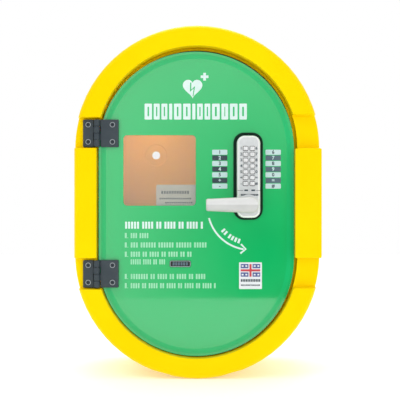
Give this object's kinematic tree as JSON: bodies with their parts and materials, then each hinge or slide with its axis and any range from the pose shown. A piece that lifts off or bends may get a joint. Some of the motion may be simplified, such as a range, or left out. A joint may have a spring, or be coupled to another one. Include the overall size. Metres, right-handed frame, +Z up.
{
  "type": "defibrillator cabinet",
  "caption": "Oval wall cabinet for a defibrillator: moulded shell, windowed door on side hinges, push-button code lock with a lever, and a heated, lit storage space.",
  "frame": {"origin": "centre of the four wall fixing holes, on the cabinet's back plane", "axes": "+X to the right as seen from the front, +Y into the wall, +Z up"},
  "size_m": [0.3875, 0.228, 0.5534],
  "materials": {
    "yellow_shell": "moulded polyethylene, satin gloss",
    "black_rubber": "matt",
    "stainless": "brushed",
    "zinc_fasteners": "bright zinc plate",
    "heater_aluminium": "anodised",
    "grey_plastic": "matt",
    "light_diffuser": "translucent white",
    "lead_sheath": "satin PVC sheath",
    "hinge_black": "satin powder coat",
    "socket_screws": "dark zinc",
    "brass_inserts": "machined",
    "clear_panel": "clear, gloss",
    "green_film": "reverse-printed gloss film",
    "location_black": "gloss",
    "white_label": "satin label stock",
    "silver_label": "silvered label stock",
    "lock_metal": "satin silver",
    "lock_gasket_black": "matt",
    "lever_metal": "satin silver",
    "button_metal": "satin"
  },
  "bodies": {
    "cabinet": {"housing": "yellow_shell", "vent_plugs": "black_rubber", "door_seal": "black_rubber", "strike_plate": "stainless", "strike_screws": "zinc_fasteners", "support_shelf": "stainless", "shelf_screws": "zinc_fasteners", "heater_block": "heater_aluminium", "heater_screws": "zinc_fasteners", "thermostat": "zinc_fasteners", "terminal_box": "grey_plastic", "terminal_box_lid": "grey_plastic", "cable_grommet": "black_rubber", "led_bar": "heater_aluminium", "led_diffuser": "light_diffuser", "internal_leads": "lead_sheath", "lead_clips": "grey_plastic", "hinge_frame_leaf_upper": "hinge_black", "hinge_frame_leaf_lower": "hinge_black", "hinge_pin_upper": "zinc_fasteners", "hinge_pin_lower": "zinc_fasteners", "hinge_frame_screws": "socket_screws", "hinge_inserts": "brass_inserts"},
    "door": {"door_panel": "clear_panel", "door_film": "green_film", "location_plate": "location_black", "corner_label": "white_label", "rating_label": "silver_label", "hinge_door_leaf_upper": "hinge_black", "hinge_door_leaf_lower": "hinge_black", "hinge_door_screws": "socket_screws", "hinge_door_nuts": "zinc_fasteners", "lock_front_plate": "lock_metal", "lock_gasket": "lock_gasket_black", "code_chamber": "brass_inserts", "lock_back_plate": "lock_metal", "lock_back_gasket": "lock_gasket_black", "lock_fixing_screws": "zinc_fasteners"},
    "lever": {"lever_handle": "lever_metal", "lever_spindle": "stainless", "cam_arm": "stainless", "cam_screw": "zinc_fasteners", "lever_spring": "stainless"},
    "button_1": {"button_1": "button_metal"},
    "button_2": {"button_2": "button_metal"},
    "button_3": {"button_3": "button_metal"},
    "button_4": {"button_4": "button_metal"},
    "button_5": {"button_5": "button_metal"},
    "button_6": {"button_6": "button_metal"},
    "button_7": {"button_7": "button_metal"},
    "button_8": {"button_8": "button_metal"},
    "button_9": {"button_9": "button_metal"},
    "button_0": {"button_0": "button_metal"},
    "button_x": {"button_x": "button_metal"},
    "button_y": {"button_y": "button_metal"},
    "button_z": {"button_z": "button_metal"},
    "button_c": {"button_c": "button_metal"}
  },
  "joints": [
    {"name": "door_swing", "type": "hinge", "parent": "cabinet", "child": "door", "pos_m": [-0.1576, -0.182, 0], "axis": [0, 0, -1], "range_deg": [0, 120]},
    {"name": "lever_turn", "type": "hinge", "parent": "door", "child": "lever", "pos_m": [0.08, -0.2, -0.0042], "axis": [0, -1, 0], "range_deg": [0, 90], "stiffness_Nm_per_rad": 0.3, "springref_deg": -28.65},
    {"name": "push_1", "type": "slide", "parent": "door", "child": "button_1", "axis": [0, 1, 0], "range_m": [0, 0.0022], "stiffness_N_per_m": 800, "springref_m": -0.0008},
    {"name": "push_2", "type": "slide", "parent": "door", "child": "button_2", "axis": [0, 1, 0], "range_m": [0, 0.0022], "stiffness_N_per_m": 800, "springref_m": -0.0008},
    {"name": "push_3", "type": "slide", "parent": "door", "child": "button_3", "axis": [0, 1, 0], "range_m": [0, 0.0022], "stiffness_N_per_m": 800, "springref_m": -0.0008},
    {"name": "push_4", "type": "slide", "parent": "door", "child": "button_4", "axis": [0, 1, 0], "range_m": [0, 0.0022], "stiffness_N_per_m": 800, "springref_m": -0.0008},
    {"name": "push_5", "type": "slide", "parent": "door", "child": "button_5", "axis": [0, 1, 0], "range_m": [0, 0.0022], "stiffness_N_per_m": 800, "springref_m": -0.0008},
    {"name": "push_6", "type": "slide", "parent": "door", "child": "button_6", "axis": [0, 1, 0], "range_m": [0, 0.0022], "stiffness_N_per_m": 800, "springref_m": -0.0008},
    {"name": "push_7", "type": "slide", "parent": "door", "child": "button_7", "axis": [0, 1, 0], "range_m": [0, 0.0022], "stiffness_N_per_m": 800, "springref_m": -0.0008},
    {"name": "push_8", "type": "slide", "parent": "door", "child": "button_8", "axis": [0, 1, 0], "range_m": [0, 0.0022], "stiffness_N_per_m": 800, "springref_m": -0.0008},
    {"name": "push_9", "type": "slide", "parent": "door", "child": "button_9", "axis": [0, 1, 0], "range_m": [0, 0.0022], "stiffness_N_per_m": 800, "springref_m": -0.0008},
    {"name": "push_0", "type": "slide", "parent": "door", "child": "button_0", "axis": [0, 1, 0], "range_m": [0, 0.0022], "stiffness_N_per_m": 800, "springref_m": -0.0008},
    {"name": "push_x", "type": "slide", "parent": "door", "child": "button_x", "axis": [0, 1, 0], "range_m": [0, 0.0022], "stiffness_N_per_m": 800, "springref_m": -0.0008},
    {"name": "push_y", "type": "slide", "parent": "door", "child": "button_y", "axis": [0, 1, 0], "range_m": [0, 0.0022], "stiffness_N_per_m": 800, "springref_m": -0.0008},
    {"name": "push_z", "type": "slide", "parent": "door", "child": "button_z", "axis": [0, 1, 0], "range_m": [0, 0.0022], "stiffness_N_per_m": 800, "springref_m": -0.0008},
    {"name": "push_c", "type": "slide", "parent": "door", "child": "button_c", "axis": [0, 1, 0], "range_m": [0, 0.0022], "stiffness_N_per_m": 800, "springref_m": -0.0008}
  ]
}
